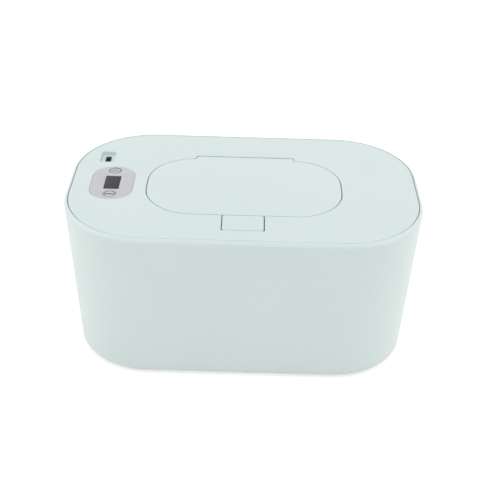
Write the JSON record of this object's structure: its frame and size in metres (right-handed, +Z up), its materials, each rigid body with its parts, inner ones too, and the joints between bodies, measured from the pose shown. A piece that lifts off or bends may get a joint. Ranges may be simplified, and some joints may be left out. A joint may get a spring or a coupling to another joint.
{
  "type": "baby wipe warmer",
  "caption": "Round-cornered countertop baby wipe warmer with lift-off heated lid, pill-shaped flip door, push-button latch and control panel.",
  "frame": {"origin": "middle of the footprint on the table, under the rubber feet", "axes": "+X along the length to the right of someone facing the button, -Y towards that person, +Z up"},
  "size_m": [0.1998, 0.1198, 0.095],
  "materials": {
    "mint_abs": "fine satin moulded ABS, pale mint",
    "white_pp": "satin white polypropylene",
    "foam": "closed-cell foam",
    "steel": "zinc-plated steel",
    "foot_rubber": "dark grey rubber",
    "silicone": "translucent-white silicone",
    "heater_aluminium": "satin anodised aluminium",
    "amber_film": "amber polyimide film",
    "felt": "needled felt",
    "white_ceramic": "white cut-off case",
    "sensor_green": "epoxy-dipped bead",
    "lead_red": "insulated lead",
    "board_green": "solder-masked laminate",
    "black_resin": "black moulded resin",
    "capacitor_can": "sleeved aluminium can",
    "smoked_window": "smoked polycarbonate",
    "panel_grey": "light lavender-grey, semi-gloss",
    "socket_steel": "stamped stainless steel",
    "key_grey": "light lavender-grey key"
  },
  "bodies": {
    "base": {"body_shell": "mint_abs", "wipe_tub": "white_pp", "insulation_wrap": "foam", "insulation_base": "foam", "tub_screws": "steel", "foot_front_left": "foot_rubber", "foot_front_right": "foot_rubber", "foot_rear_left": "foot_rubber", "foot_rear_right": "foot_rubber"},
    "lid": {"lid_cover": "mint_abs", "lid_liner": "white_pp", "lid_gasket": "silicone", "lid_screws": "steel", "heater_plate": "heater_aluminium", "heater_film": "amber_film", "heater_insulation": "felt", "heater_screws": "steel", "thermal_cutoff": "white_ceramic", "temperature_sensor": "sensor_green", "heater_leads": "lead_red", "lead_connector": "white_pp", "control_board": "board_green", "board_screws": "steel", "microcontroller": "black_resin", "power_transistor": "black_resin", "filter_capacitor": "capacitor_can", "power_switch": "black_resin", "mode_switch": "black_resin", "led_display": "black_resin", "display_window": "smoked_window", "control_panel": "panel_grey", "usb_socket_shell": "socket_steel", "usb_socket_tongue": "black_resin", "hinge_pin": "steel", "latch_bracket": "white_pp", "latch_screws": "steel", "button_spring": "steel"},
    "door": {"flip_door": "mint_abs", "door_liner": "white_pp", "door_gasket": "silicone"},
    "button": {"release_button": "mint_abs"},
    "latch": {"latch_slider": "white_pp"},
    "power": {"power_key": "key_grey", "power_plunger": "black_resin"},
    "mode": {"mode_key": "key_grey", "mode_plunger": "black_resin"}
  },
  "joints": [
    {"name": "lid_lift", "type": "slide", "parent": "base", "child": "lid", "axis": [0, 0, 1], "range_m": [0, 0.12]},
    {"name": "door_hinge", "type": "hinge", "parent": "lid", "child": "door", "pos_m": [0, 0.0312, 0.09375], "axis": [-1, 0, 0], "range_deg": [0, 100]},
    {"name": "button_press", "type": "slide", "parent": "lid", "child": "button", "axis": [0, 0, -1], "range_m": [0, 0.0015], "stiffness_N_per_m": 800, "springref_m": -0.0012, "deforming": ["button_spring"]},
    {"name": "latch_slide", "type": "slide", "parent": "lid", "child": "latch", "axis": [0, -1, 0], "range_m": [0, 0.0015]},
    {"name": "power_press", "type": "slide", "parent": "lid", "child": "power", "axis": [0, 0, -1], "range_m": [0, 0.0004], "stiffness_N_per_m": 1000, "springref_m": -0.0005},
    {"name": "mode_press", "type": "slide", "parent": "lid", "child": "mode", "axis": [0, 0, -1], "range_m": [0, 0.0004], "stiffness_N_per_m": 1000, "springref_m": -0.0005}
  ],
  "couplings": [
    {"joint": "latch_slide", "follows": "button_press", "ratio": 1}
  ]
}
